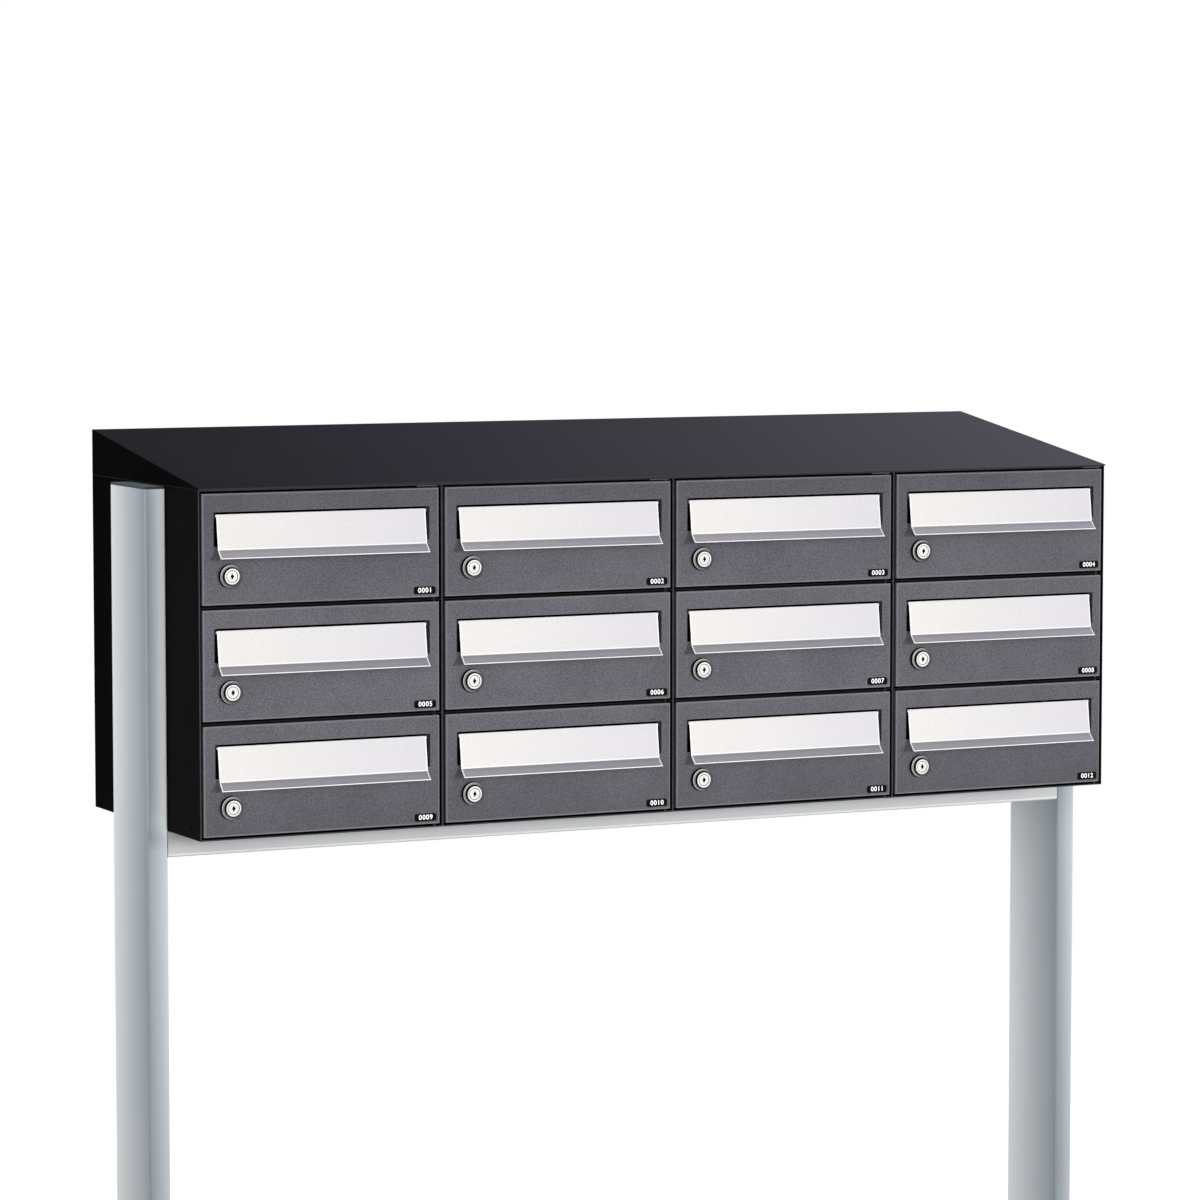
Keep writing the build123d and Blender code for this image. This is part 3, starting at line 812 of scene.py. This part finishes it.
# Painted shade: a black ring on the recess floor between the bezel and the head.
recess_shade_data = turned("lock_recess_shade", rounded([
    (-rosette_floor, head_r, 0), (recess_shade_front, head_r, 0.2),
    (recess_shade_front, rosette_inner_r, 0.2), (-rosette_floor, rosette_inner_r, 0),
]), rubber_and_shade_finish)
head_data = turned("lock_head", threaded_barrel(), head_finish)
nut_data = plate("lock_nut", [hexagon(nut_flats, 1.2), circle(barrel_r + nut_clearance)],
                 nut_front, nut_thickness, 0.5, zinc_finish)
plug_data = plate("lock_plug", [circle(plug_r), keyway_outline()], plug_front,
                  cam_front - plug_front, 0.15, plug_finish)
cam_data = plate("lock_cam_arm", [cam_outline()], cam_front, cam_sheet, 0.3, zinc_finish)
screw_data = plate("lock_cam_screw", [circle(cam_screw_r, 48), hexagon(2 * cam_socket_r, 0)],
                   cam_front + cam_sheet, cam_screw_head, 0.6, zinc_finish)

for number in numbers:
    axis_point = Vector(joints[f"lock_{number}_turn"]["pos_m"])
    door = f"door_{number}"
    cam = f"lock_cam_{number}"
    rosette = seat(f"lock_rosette_{number}", rosette_data, axis_point, door)
    bezel = seat(f"lock_bezel_{number}", bezel_data, axis_point, door)
    head = seat(f"lock_head_{number}", head_data, axis_point, door)
    seat(f"lock_recess_shade_{number}", recess_shade_data, axis_point, door)
    seat(f"lock_nut_{number}", nut_data, axis_point, door)
    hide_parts(f"lock_body_{number}")
    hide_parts(f"lock_body_{number}")
    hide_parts(f"lock_body_{number}")
    plug = seat(f"lock_plug_{number}", plug_data, axis_point, cam)
    arm = seat(f"lock_cam_arm_{number}", cam_data, axis_point, cam)
    seat(f"lock_cam_screw_{number}", screw_data, axis_point, cam)
    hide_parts(cam)
    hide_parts(cam)

# ---------------------------------------------------------------- number plates
plate_width = 30.0
plate_height = 9.8
plate_corner = 3.4
plate_thickness = 0.9
plate_edge = 0.25
plate_from_right = 5.1
plate_from_bottom = 4.0
figure_size = 8.7
figure_spacing = 1.15
figure_weight = 0.12           # how much the strokes are thickened all round
figure_height = 0.25
figure_edge = 0.05

number_plate_data = plate("number_plate", [oblong(plate_width, plate_height, plate_corner)],
                          -plate_thickness, plate_thickness, plate_edge, plate_finish)


def figures(name, text, place, body):
    """Raised figures, centred on a place on the front of a plate."""
    curve = bpy.data.curves.new(name, "FONT")
    curve.body = text
    curve.size = figure_size * MM
    curve.align_x = "CENTER"
    curve.align_y = "CENTER"
    curve.space_character = figure_spacing
    curve.offset = figure_weight * MM
    curve.extrude = figure_height * MM
    curve.bevel_depth = figure_edge * MM
    curve.materials.append(figure_finish)
    piece = bpy.data.objects.new(name, curve)
    piece.location = place
    piece.rotation_euler = (math.pi / 2, 0, 0)
    bpy.context.scene.collection.objects.link(piece)
    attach(piece, body)


for number in numbers:
    door = f"door_{number}"
    corner_low, corner_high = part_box(door)
    middle = Vector((corner_high[0] - (plate_from_right + plate_width / 2) * MM, door_face,
                     corner_low[2] + (plate_from_bottom + plate_height / 2) * MM))
    seat(f"number_plate_{number}", number_plate_data, middle, door)
    figures(f"number_{number}", "00" + number,
            middle + Vector((0, -plate_thickness * MM, 0)), door)

# ---------------------------------------------------------------- welds at the posts' feet
bead_r = 2.4
bead_step = 0.8
bead_ripple = 3.2              # length of one ripple along the weld
bead_swell = 0.14              # how much a ripple widens the bead
foot_corner = 3.0
base_plate_top = 8.0


def weld_bead(name, side):
    """Rippled bead round the foot of a post."""
    outline = oblong(post_width / MM, post_depth / MM, foot_corner, 8)
    points = []
    for start, end in zip(outline, outline[1:] + outline[:1]):
        count = max(1, round((end - start).length / bead_step))
        points += [start.lerp(end, step / count) for step in range(count)]
    curve = bpy.data.curves.new(name, "CURVE")
    curve.dimensions = "3D"
    curve.bevel_depth = bead_r * MM
    curve.bevel_resolution = 3
    spline = curve.splines.new("POLY")
    spline.points.add(len(points) - 1)
    travelled = 0.0
    previous = points[-1]
    for point, place in zip(spline.points, points):
        travelled += (place - previous).length
        previous = place
        point.co = (place.x * MM, place.y * MM, 0, 1)
        point.radius = 1 + bead_swell * abs(math.sin(math.pi * travelled / bead_ripple))
    spline.use_cyclic_u = True
    curve.materials.append(weld_finish)
    piece = bpy.data.objects.new(name, curve)
    piece.location = (side * post_x, (post_low[1] + post_high[1]) / 2, base_plate_top * MM)
    bpy.context.scene.collection.objects.link(piece)
    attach(piece, "cabinet")


weld_bead("weld_left", -1)
weld_bead("weld_right", 1)


# ---------------------------------------------------------------- floor
floor_radius = 3.6
floor_fade = 1.2               # where the floor starts to fade into the backdrop
floor_drop = 0.5 * MM          # below the base plates


def disc(name, radius, height):
    """Level disc round the middle of the row."""
    mesh = bmesh.new()
    bmesh.ops.create_circle(mesh, cap_ends=True, segments=128, radius=radius,
                            matrix=Matrix.Translation((0, 0, height)))
    data = bpy.data.meshes.new(name)
    mesh.to_mesh(data)
    mesh.free()
    piece = bpy.data.objects.new(name, data)
    bpy.context.scene.collection.objects.link(piece)
    return piece


def pale_floor():
    """Pale floor that fades out towards its rim."""
    paint = Finish("floor_pale", Roughness=0.9, Specular_IOR_Level=0.1)
    cloud = paint.noise(paint.place(), 1.5, 3.0)
    paint.feed("Base Color", paint.between((0.5 + cloud).clamped(), grey(0.86), grey(0.9)))
    radius = paint.node("ShaderNodeVectorMath", {"operation": "LENGTH"},
                        {0: paint.place()}, output="Value")
    paint.feed("Alpha", (1 - (radius - floor_fade) / (floor_radius - floor_fade)).clamped())
    return paint.material


floor = disc("floor", floor_radius, -floor_drop)
floor.data.materials.append(pale_floor())


# ---------------------------------------------------------------- light
def sun(name, strength, spread, direction, glossy=True):
    """Soft light that shines along a direction; spread is its angle in degrees."""
    data = bpy.data.lights.new(name, "SUN")
    data.energy = strength
    data.angle = math.radians(spread)
    light = bpy.data.objects.new(name, data)
    light.visible_glossy = glossy
    light.rotation_mode = "QUATERNION"
    light.rotation_quaternion = Vector(direction).to_track_quat("-Z", "Y")
    bpy.context.scene.collection.objects.link(light)


# Cards round the set: direction, width in degrees each side, strength, dark where negative
cards = (
    ((0.42, -1, 0.15), 36, 0.97),
    ((-0.5, -1, 0), 75, -0.3),
    ((0, 0, -1), 100, -0.3),
    ((0.44, -0.14, 0.89), 34, 0.24),
    ((1, 0.45, 0.3), 50, 0.5),
    ((0, 1, 0.42), 42, -0.75),
)


def studio():
    """White backdrop for the camera, and light from all round for the pieces: more near the
    horizon and from the bright cards, less from the dark ones, and bluer from behind."""
    world = bpy.data.worlds.new("studio")
    bpy.context.scene.world = world
    tree = Tree(world)
    way = tree.node("ShaderNodeTexCoord", output="Generated")

    def patch(direction, width):
        """1 in a direction, falling to 0 as many degrees away as the width."""
        facing = tree.node("ShaderNodeVectorMath", {"operation": "DOT_PRODUCT"},
                           {0: way, 1: Vector(direction).normalized()}, output="Value")
        rim = math.cos(math.radians(width))
        return ((facing - rim) / (1 - rim)).clamped()

    ring = (1 - abs(tree.axis(way, "Z")) * 1.3).clamped()
    level = 0.27 + ring * 0.3
    for direction, width, strength in cards:
        level = level + patch(direction, width) * strength
    tint = tree.between(patch((0.3, 1, 0.42), 80), grey(1.0), colour(0.98, 0.96, 1.16))
    surround = tree.node("ShaderNodeBackground",
                         inputs={"Color": tint, "Strength": level.larger(0.03)})
    backdrop = tree.node("ShaderNodeBackground", inputs={"Color": grey(1.0), "Strength": 1.0})
    seen = tree.node("ShaderNodeLightPath", output="Is Camera Ray")
    shown = tree.node("ShaderNodeMixShader", inputs={0: seen, 1: surround, 2: backdrop})
    tree.node("ShaderNodeOutputWorld", inputs={"Surface": shown})


sun("light_above", 2.5, 40, (0, -0.45, -1))
sun("light_right", 2.2, 8, (-0.50, 0.86, -0.12), glossy=False)
sun("light_left", 1.1, 30, (0.5, 0.8, -0.3), glossy=False)
sun("light_side", 1.4, 60, (0.95, -0.05, -0.25), glossy=False)
studio()
